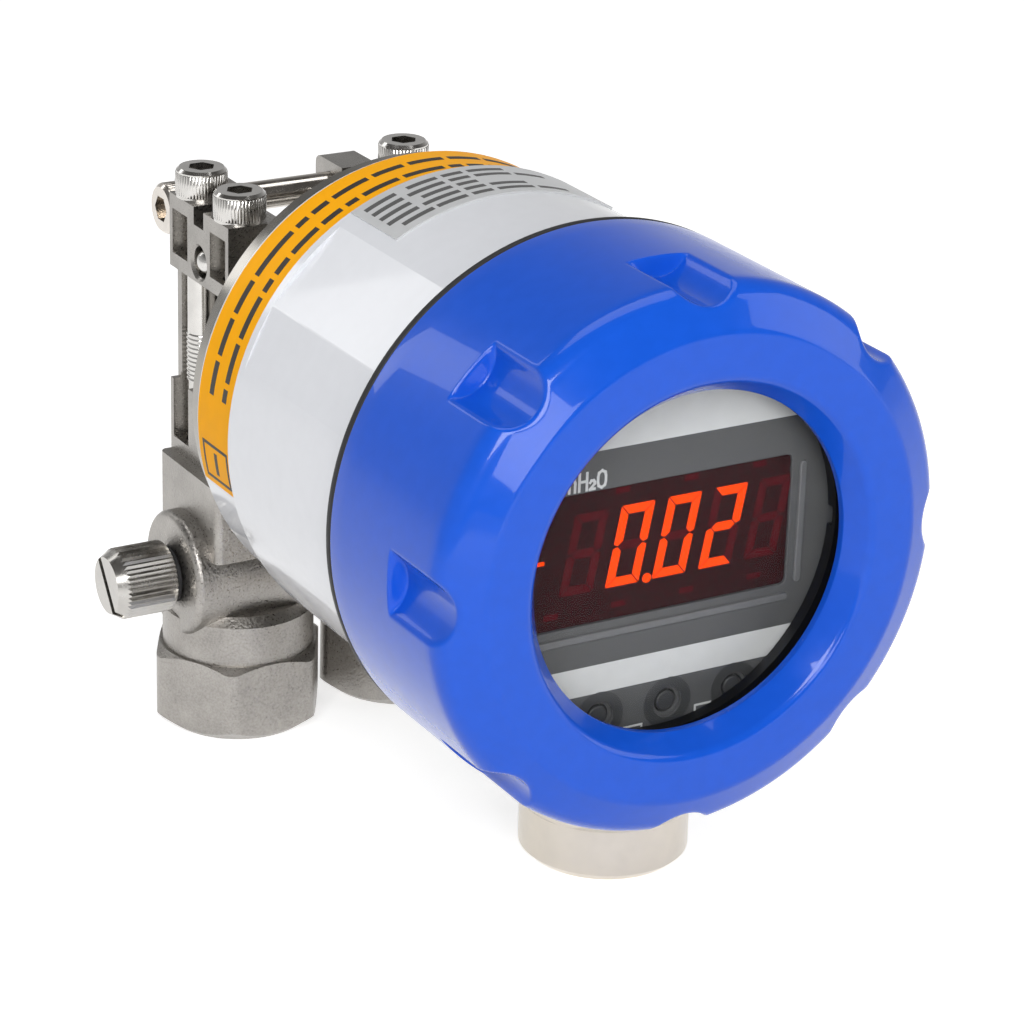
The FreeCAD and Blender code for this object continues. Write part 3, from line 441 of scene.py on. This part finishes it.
# ------------------------------------------------------------------ display
PANEL, FILTER = 11.5, 11.9       # front faces of the bezel and of the red filter
PANEL_R, PRINT_R = 32.8, 31.25   # the bezel's outside and the edge of its printed bands
BUTTON_XS, BUTTON_Z = (-9.8, 2.0, 13.8), -25.6


def flat(name, loops, y, body, look, thick=0.03):
    """Thin print, or painted shade, lying on a face square to the axis; each loop is a polygon in
    X and Z.

    Neighbouring loops differ a little in height, so that where they cross no two faces coincide.
    """
    verts, faces = [], []
    for i, loop in enumerate(loops):
        n, base, lift = len(loop), len(verts), thick + 0.002 * (i % 5)
        verts += [at(x, y - lift, z) for x, z in loop] + [at(x, y - 0.005, z) for x, z in loop]
        faces.append(tuple(base + k for k in range(n)))
        faces.append(tuple(base + n + k for k in reversed(range(n))))
        faces += [(base + k, base + n + k, base + n + (k + 1) % n, base + (k + 1) % n)
                  for k in range(n)]
    return piece(name, verts, faces, body, look)


def arc(x, z, r, a0, a1, n):
    return [(x + r * math.cos(math.radians(a0 + (a1 - a0) * k / n)),
             z + r * math.sin(math.radians(a0 + (a1 - a0) * k / n))) for k in range(n + 1)]


def rounded(x0, x1, z0, z1, r):
    return (arc(x1 - r, z1 - r, r, 0, 90, 6) + arc(x0 + r, z1 - r, r, 90, 180, 6)
            + arc(x0 + r, z0 + r, r, 180, 270, 6) + arc(x1 - r, z0 + r, r, 270, 360, 6))


def panel_plate(name, loops, y0, y1, bevel, look=bezel_grey):
    """Moulded plate square to the axis: the first loop is its outline, the rest are holes."""
    curve = bpy.data.curves.new(name, "CURVE")
    curve.dimensions, curve.fill_mode = "2D", "BOTH"
    curve.extrude = (y1 - y0) / 2000.0 - bevel / 1000.0
    curve.bevel_depth, curve.bevel_resolution, curve.offset = bevel / 1000.0, 2, -bevel / 1000.0
    for loop in loops:
        spline = curve.splines.new("POLY")
        spline.points.add(len(loop) - 1)
        for point, (x, z) in zip(spline.points, loop):
            point.co = (x / 1000.0, z / 1000.0, 0, 1)
        spline.use_cyclic_u = True
    curve.materials.append(look)
    obj = bpy.data.objects.new(name, curve)
    obj.matrix_world = Matrix.Translation(at(0, (y0 + y1) / 2, 0)) @ Matrix.Rotation(
        math.radians(90), 4, "X")
    bpy.context.scene.collection.objects.link(obj)
    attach(obj, "transmitter")
    return obj


window_hole = rounded(-22.0, 22.0, -10.3, 10.5, 1.0)
bezel = panel_plate("bezel_face", [arc(0, 0, PANEL_R, 0, 357, 119), window_hole]
                    + [arc(x, BUTTON_Z, 2.4, 0, 350, 35) for x in BUTTON_XS],
                    PANEL, PANEL + 0.6, 0.12)
panel_plate("bezel_body", [arc(0, 0, PANEL_R - 0.4, 0, 357, 119), window_hole]
            + [arc(x, BUTTON_Z, 1.9, 0, 350, 35) for x in BUTTON_XS],
            PANEL + 0.6, 13.5, 0.05)
# raised ribs right of and below the window; their lighter grey is a painted highlight
panel_plate("bezel_rib_side", [rounded(23.3, 24.5, -10.2, 9.2, 0.5)], PANEL - 0.4,
            PANEL + 0.1, 0.2, rib_grey_painted_highlight)
panel_plate("bezel_rib_below", [rounded(-26.5, 22.3, -12.85, -11.65, 0.5)], PANEL - 0.4,
            PANEL + 0.1, 0.2, rib_grey_painted_highlight)
verts, faces = revolve([(27.6, 13.45), (29.3, 13.45), (29.3, 24.8), (27.6, 24.8)],
                       [3.0 * k for k in range(120)])
piece("bezel_skirt", verts, faces, "transmitter", bezel_grey)
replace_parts(bezel, "display_bezel")

DIGIT_H, DIGIT_W, SLANT, STROKE, GAP = 12.5, 5.7, 0.19, 1.45, 0.16


def segments(x, z, which):
    """Seven-segment strokes of a slanted digit centred on x, z."""
    h, w, t, g = DIGIT_H / 2, DIGIT_W / 2, STROKE / 2, GAP
    bars = {
        "a": [(-w, h), (w, h), (w - 2 * t, h - 2 * t), (-w + 2 * t, h - 2 * t)],
        "d": [(-w, -h), (w, -h), (w - 2 * t, -h + 2 * t), (-w + 2 * t, -h + 2 * t)],
        "g": [(-w + t, 0), (-w + 2 * t, t), (w - 2 * t, t), (w - t, 0), (w - 2 * t, -t),
              (-w + 2 * t, -t)],
        "b": [(w, h), (w, t * 0.4), (w - t, 0), (w - 2 * t, t), (w - 2 * t, h - 2 * t)],
        "c": [(w, -h), (w, -t * 0.4), (w - t, 0), (w - 2 * t, -t), (w - 2 * t, -h + 2 * t)],
        "f": [(-w, h), (-w, t * 0.4), (-w + t, 0), (-w + 2 * t, t), (-w + 2 * t, h - 2 * t)],
        "e": [(-w, -h), (-w, -t * 0.4), (-w + t, 0), (-w + 2 * t, -t), (-w + 2 * t, -h + 2 * t)],
    }
    out = []
    for key in which:
        pts = bars[key]
        cx = sum(p[0] for p in pts) / len(pts)
        cz = sum(p[1] for p in pts) / len(pts)
        long = max(math.dist(p, (cx, cz)) for p in pts)
        k = 1 - g / long
        out.append([(x + cx + (px - cx) * k + (cz + (pz - cz) * k) * SLANT,
                     z + cz + (pz - cz) * k) for px, pz in pts])
    return out


def dot(x, z, r, n=20):
    return [(x + r * math.cos(2 * math.pi * k / n), z + r * math.sin(2 * math.pi * k / n))
            for k in range(n)]


def rect(x0, x1, z0, z1):
    return [(x0, z0), (x1, z0), (x1, z1), (x0, z1)]


DIGITS = [(-13.3, ""), (-5.5, "abcdef"), (2.5, "abcdef"), (10.5, "abged"), (18.4, "")]
DIGIT_Z = 1.0
lit_loops, dark_loops = [], []
for x, on in DIGITS:
    lit_loops += segments(x, DIGIT_Z, on)
    dark_loops += segments(x, DIGIT_Z, [k for k in "abcdefg" if k not in on])
lit_loops.append(dot(-2.4, -4.9, 0.75))
dark_loops += [rect(x - 1.1, x + 1.3, z - 0.45, z + 0.45)
               for x in (-18.6, -7.2, 4.5, 16.3) for z in (9.7, -8.1)]
lit_loops.append(rect(-21.6, -19.9, 0.3, 0.9))
flat("lit_segments", lit_loops, FILTER, "transmitter", lit, 0.06)
flat("unlit_segments", dark_loops, FILTER, "transmitter", unlit, 0.03)


def chord_band(z0, z1, r, n=24):
    """Strip across the round panel between two heights."""
    right, left = [], []
    for k in range(n + 1):
        z = z0 + (z1 - z0) * k / n
        x = math.sqrt(max(r * r - z * z, 0.0))
        right.append((x, z))
        left.append((-x, z))
    return right + left[::-1]


flat("panel_bands", [chord_band(16.6, 31.2, PRINT_R), chord_band(-21.6, -17.0, PRINT_R)],
     PANEL, "transmitter", white_print)
brackets = [rect(-5.6, -2.2, -28.45, -28.1), rect(6.8, 9.8, -27.35, -27.0),
            rect(6.8, 7.15, -28.6, -27.0), rect(-2.5, -2.2, -29.5, -28.1)]
flat("panel_brackets", brackets, PANEL, "transmitter", white_print)


def ring_loops(x, z, r0, r1, n=36):
    """A flat ring as a run of small four-sided loops."""
    out = []
    for k in range(n):
        a, b = 2 * math.pi * k / n, 2 * math.pi * (k + 1) / n
        out.append([(x + r * math.cos(t), z + r * math.sin(t))
                    for r, t in ((r0, a), (r1, a), (r1, b), (r0, b))])
    return out


# the darker rings round the buttons are painted shade
flat("button_rings", sum((ring_loops(x, BUTTON_Z, 2.45, 4.1) for x in BUTTON_XS), []),
     PANEL, "transmitter", button_ring_painted_shade)


def stroke(points, w):
    """A run of flat bars of width w along a line, one loop for each length."""
    out = []
    for p, q in zip(points, points[1:]):
        dx, dz = q[0] - p[0], q[1] - p[1]
        k = w / 2 / math.hypot(dx, dz)
        ux, uz = dx * k, dz * k
        out.append([(p[0] - ux - uz, p[1] - uz + ux), (p[0] - ux + uz, p[1] - uz - ux),
                    (q[0] + ux + uz, q[1] + uz - ux), (q[0] + ux - uz, q[1] + uz + ux)])
    return out


# the unit, inches of water: each letter is lines on a unit square, then its place and size
UNIT_Z, UNIT_SQUEEZE, UNIT_STROKE = 10.95, 0.86, 0.42
LETTERS = [
    ([[(0, 0), (0, 0.72)], [(0, 0.95), (0, 1.0)]], -17.3, 0.4, 3.0),
    ([[(0, 0), (0, 0.72)], [(0, 0.6), (0.4, 0.72), (0.85, 0.7), (1, 0.5), (1, 0)]],
     -16.4, 0.95, 3.0),
    ([[(0, 0), (0, 1)], [(1, 0), (1, 1)], [(0, 0.52), (1, 0.52)]], -14.75, 1.25, 3.0),
    ([[(0, 0.8), (0.25, 1), (0.75, 1), (1, 0.8), (1, 0.6), (0, 0), (1, 0)]], -12.95, 0.75, 1.5),
    ([[(0.5, 0), (0.1, 0.12), (0, 0.35), (0, 0.65), (0.1, 0.88), (0.5, 1), (0.9, 0.88),
       (1, 0.65), (1, 0.35), (0.9, 0.12), (0.5, 0)]], -11.65, 1.3, 3.0),
]
unit_loops = []
for lines, x, w, h in LETTERS:
    for line in lines:
        unit_loops += stroke([(x + px * w, UNIT_Z + pz * h * UNIT_SQUEEZE) for px, pz in line],
                             UNIT_STROKE)
flat("unit_mark", unit_loops, PANEL, "transmitter", white_print)


# ------------------------------------------------------------------ prints on curved faces
def wrap(name, boxes, r, look, thick=0.03):
    """Small printed bars on the housing: each is angle from, to (from +X), and Y from, to."""
    verts, faces = [], []
    for a0, a1, y0, y1 in boxes:
        n = max(1, math.ceil(abs(a1 - a0) / 2.0))
        base = len(verts)
        for k in range(n + 1):
            a = a0 + (a1 - a0) * k / n
            verts += [polar(r + thick, a, y0), polar(r + thick, a, y1), polar(r + 0.004, a, y1),
                      polar(r + 0.004, a, y0)]
        for k in range(n):
            for m in range(4):
                p, q = base + 4 * k + m, base + 4 * k + (m + 1) % 4
                faces.append((p, q, q + 4, p + 4))
        faces += [tuple(base + m for m in (3, 2, 1, 0)), tuple(base + 4 * n + m for m in range(4))]
    return piece(name, verts, faces, "transmitter", look)


def greeked(start, stop, y0, y1, lengths, gap):
    """A line of plain bars of uneven length, standing in for printed lines."""
    out, a, k = [], start, 0
    step = 1 if stop > start else -1
    while (stop - a) * step > lengths[k % len(lengths)]:
        b = a + step * lengths[k % len(lengths)]
        out.append((min(a, b), max(a, b), y0, y1))
        a, k = b + step * gap, k + 1
    return out


BAND_R, PLATE_R = 38.6, 39.9
rows = greeked(172, 20, 78.1, 79.5, (3.2, 9.5, 10.5, 3.4, 4.6, 8.2, 5.6), 1.5)
rows += greeked(172, 26, 82.5, 83.9, (8.0, 9.0, 8.4, 13.0, 3.4, 4.6, 9.5), 1.5)
wrap("band_lines", rows, BAND_R, ink)

# the box at the band's low end, with a bar where the real one has a letter
BOX_A0, BOX_A1, BOX_Y0, BOX_Y1 = 184.0, 193.5, 77.2, 85.95
frame_box = [(BOX_A0, BOX_A1, BOX_Y0, BOX_Y0 + 0.55), (BOX_A0, BOX_A1, BOX_Y1 - 0.55, BOX_Y1),
             (BOX_A0, BOX_A0 + 0.8, BOX_Y0, BOX_Y1), (BOX_A1 - 0.8, BOX_A1, BOX_Y0, BOX_Y1)]
wrap("side_mark", frame_box + [(186.0, 191.6, 81.1, 82.1)], BAND_R, ink)
plate_rows = []
for k in range(5):
    y0 = 61.2 + 2.45 * k
    plate_rows += greeked(116.5 - (k == 0) * 2, 104 - 7 * (k % 2), y0, y0 + 1.15, (8.0,), 1.4)
    plate_rows += greeked(105.5, 72 + 9 * (k % 3), y0, y0 + 1.15, (7.5, 5.0, 9.0), 1.4)
wrap("plate_lines", plate_rows, PLATE_R, grey_ink)

# ------------------------------------------------------------------ screw knurls and threads
CELL_Y = 120.0                          # the sensor cell's middle
CLAMP_X, CLAMP_Y, CLAMP_SEAT = 19.0, 7.2, 22.8
TIE_Y, TIE_Z, TIE_SEAT = 15.8, 18.4, 17.5
HEAD_R, SHANK_R, TEETH, PITCH = 4.25, 2.5, 52, 0.8
KNURL_STEPS = (0.02, 0.09, 0.12, 0.09)  # over one tooth, outwards from the head's side
THREAD_SIDES, THREAD_ROWS, THREAD_FOOT, THREAD_DEPTH = 24, 64, -9.5, 0.19


def knurl(r, reach, k):
    """Radius over the knurl's teeth; rows inside the head stay round."""
    return r + KNURL_STEPS[k % len(KNURL_STEPS)] if r >= HEAD_R else r


def thread(r, reach, k):
    """Radius of a thread winding round the shank; rows inside the shank stay round."""
    turn = (reach / PITCH + k / THREAD_SIDES) % 1.0
    return r + THREAD_DEPTH * (1 - abs(2 * turn - 1)) if r > SHANK_R else r


def sleeves(name, feet, along, rows, count, radius, look):
    """Closed sleeves of changing radius round screws; rows are radius and reach from the foot."""
    verts, faces = [], []
    for foot, way in feet:
        along_way = Vector(along) * way
        side = Vector((0, 1, 0))
        other = along_way.cross(side)
        base = len(verts)
        for r, reach in rows:
            for k in range(count):
                a = 2 * math.pi * k / count
                out = radius(r, reach, k) / 1000.0
                verts.append(at(*foot) + along_way * (reach / 1000.0)
                             + side * (out * math.cos(a)) + other * (out * math.sin(a)))
        for i in range(len(rows)):
            for k in range(count):
                p, q = base + i * count, base + (i + 1) % len(rows) * count
                m = (k + 1) % count
                faces.append((p + k, p + m, q + m, q + k))
    return piece(name, verts, faces, "transmitter", look, sharp=50)


head_rows = [(HEAD_R - 0.15, 0.3), (HEAD_R, 0.5), (HEAD_R, 4.2), (HEAD_R - 0.15, 4.4)]
clamp_spots = [(side * CLAMP_X, CELL_Y + y) for side in (-1, 1) for y in (-CLAMP_Y, CLAMP_Y)]
tie_feet = [((way * TIE_SEAT, CELL_Y + side * TIE_Y, -way * side * TIE_Z), way)
            for way in (-1, 1) for side in (-1, 1)]
sleeves("clamp_knurls", [((x, y, CLAMP_SEAT), 1) for x, y in clamp_spots], (0, 0, 1), head_rows,
        len(KNURL_STEPS) * TEETH, knurl, clamp_steel)
sleeves("tie_knurls", tie_feet, (1, 0, 0), head_rows, len(KNURL_STEPS) * TEETH, knurl, tie_steel)
thread_rows = [(SHANK_R - 0.1 if k in (0, THREAD_ROWS) else SHANK_R + 0.01, k * PITCH / 6)
               for k in range(THREAD_ROWS + 1)]
sleeves("clamp_threads", [((x, y, THREAD_FOOT), 1) for x, y in clamp_spots], (0, 0, 1),
        thread_rows, THREAD_SIDES, thread, clamp_steel)

# ------------------------------------------------------------------ floor, light, camera
bpy.ops.mesh.primitive_plane_add(size=8.0, location=(0, 0, 0))
floor = bpy.context.active_object
floor.name = "floor"
m, tree, link, bsdf = new_material("floor_white")
link(tint(tree, noise(tree, 3.0), (0.79, 0.79, 0.79), (0.81, 0.81, 0.81)),
     bsdf.inputs["Base Color"])
bsdf.inputs["Roughness"].default_value = 0.9
bsdf.inputs["Specular IOR Level"].default_value = 0.1
glow = tree.nodes.new("ShaderNodeEmission")
glow.inputs["Strength"].default_value = 0.6
path = tree.nodes.new("ShaderNodeLightPath").outputs
seen_white = math_node(tree, "MAXIMUM", path["Is Camera Ray"], path["Is Glossy Ray"])
seen_white = math_node(tree, "MAXIMUM", seen_white, path["Is Transmission Ray"])
add = tree.nodes.new("ShaderNodeAddShader")
mix = tree.nodes.new("ShaderNodeMixShader")
link(bsdf.outputs[0], add.inputs[0])
link(glow.outputs[0], add.inputs[1])
link(seen_white, mix.inputs["Fac"])
link(bsdf.outputs[0], mix.inputs[1])
link(add.outputs[0], mix.inputs[2])
link(mix.outputs[0], tree.nodes["Material Output"].inputs["Surface"])
floor.data.materials.append(m)

# The studio: pale all round, with a dark zone in front of the object and overhead; camera rays and
# rays through glass see plain white instead
world = bpy.data.worlds.new("studio")
bpy.context.scene.world = world
world.use_nodes = True
wn, wl = world.node_tree.nodes, world.node_tree.links
room = wn["Background"]
room.inputs["Strength"].default_value = 0.62
way = wn.new("ShaderNodeTexCoord").outputs["Generated"]
front = wn.new("ShaderNodeVectorMath")
front.operation = "DOT_PRODUCT"
front.inputs[1].default_value = (0.45, -0.86, 0.25)
wl.new(way, front.inputs[0])
sky = wn.new("ShaderNodeSeparateXYZ")
wl.new(way, sky.inputs[0])
shadow = math_node(world.node_tree, "MAXIMUM", front.outputs["Value"], sky.outputs["Z"])
wl.new(tint(world.node_tree, shadow, (1.0, 1.0, 1.0), (0.15, 0.145, 0.14), 0.05, 0.75),
       room.inputs["Color"])
bright = wn.new("ShaderNodeBackground")
bright.inputs["Color"].default_value = (1, 1, 1, 1)
bright.inputs["Strength"].default_value = 1.0
path = wn.new("ShaderNodeLightPath").outputs
seen = math_node(world.node_tree, "MAXIMUM", path["Is Camera Ray"], path["Is Transmission Ray"])
wmix = wn.new("ShaderNodeMixShader")
wl.new(seen, wmix.inputs["Fac"])
wl.new(room.outputs[0], wmix.inputs[1])
wl.new(bright.outputs[0], wmix.inputs[2])
wl.new(wmix.outputs[0], wn["World Output"].inputs["Surface"])


def softbox(name, place, aim, size, power):
    light = bpy.data.lights.new(name, "AREA")
    light.shape, light.size, light.size_y = "RECTANGLE", size[0], size[1]
    light.energy = power
    obj = bpy.data.objects.new(name, light)
    obj.location = place
    obj.rotation_mode = "QUATERNION"
    obj.rotation_quaternion = (Vector(aim) - Vector(place)).to_track_quat("-Z", "Y")
    bpy.context.scene.collection.objects.link(obj)


middle = (0.0, 0.0, 0.06)
softbox("key", (-0.5, -0.72, 0.62), middle, (0.5, 0.35), 6.4)
softbox("front", (-0.2, -0.95, 0.3), middle, (0.3, 0.3), 1.9)
softbox("top", (0.1, 0.15, 0.95), middle, (0.8, 0.5), 2.7)
softbox("fill", (0.75, -0.5, 0.35), middle, (0.4, 0.6), 1.8)
softbox("strip", (-0.42, 0.85, 0.62), middle, (0.16, 0.7), 0.8)

scene = bpy.context.scene
scene.view_settings.view_transform = "Standard"
camera_data = bpy.data.cameras.new("photo_view")
camera_data.lens, camera_data.sensor_width = 126.25, 36.0
camera_data.clip_start, camera_data.clip_end = 0.01, 20.0
camera = bpy.data.objects.new("photo_view", camera_data)
scene.collection.objects.link(camera)
# the camera's place and turn were fitted to the photograph's outline
right, up, back = (Vector((0.86613, -0.49898, 0.02907)), Vector((0.16532, 0.34088, 0.92546)),
                   Vector((-0.47169, -0.79676, 0.37774)))
turn = Matrix((right, up, back)).transposed().to_4x4()
camera.matrix_world = Matrix.Translation(at(-264.288, -391.475, 200.804)) @ turn
scene.camera = camera
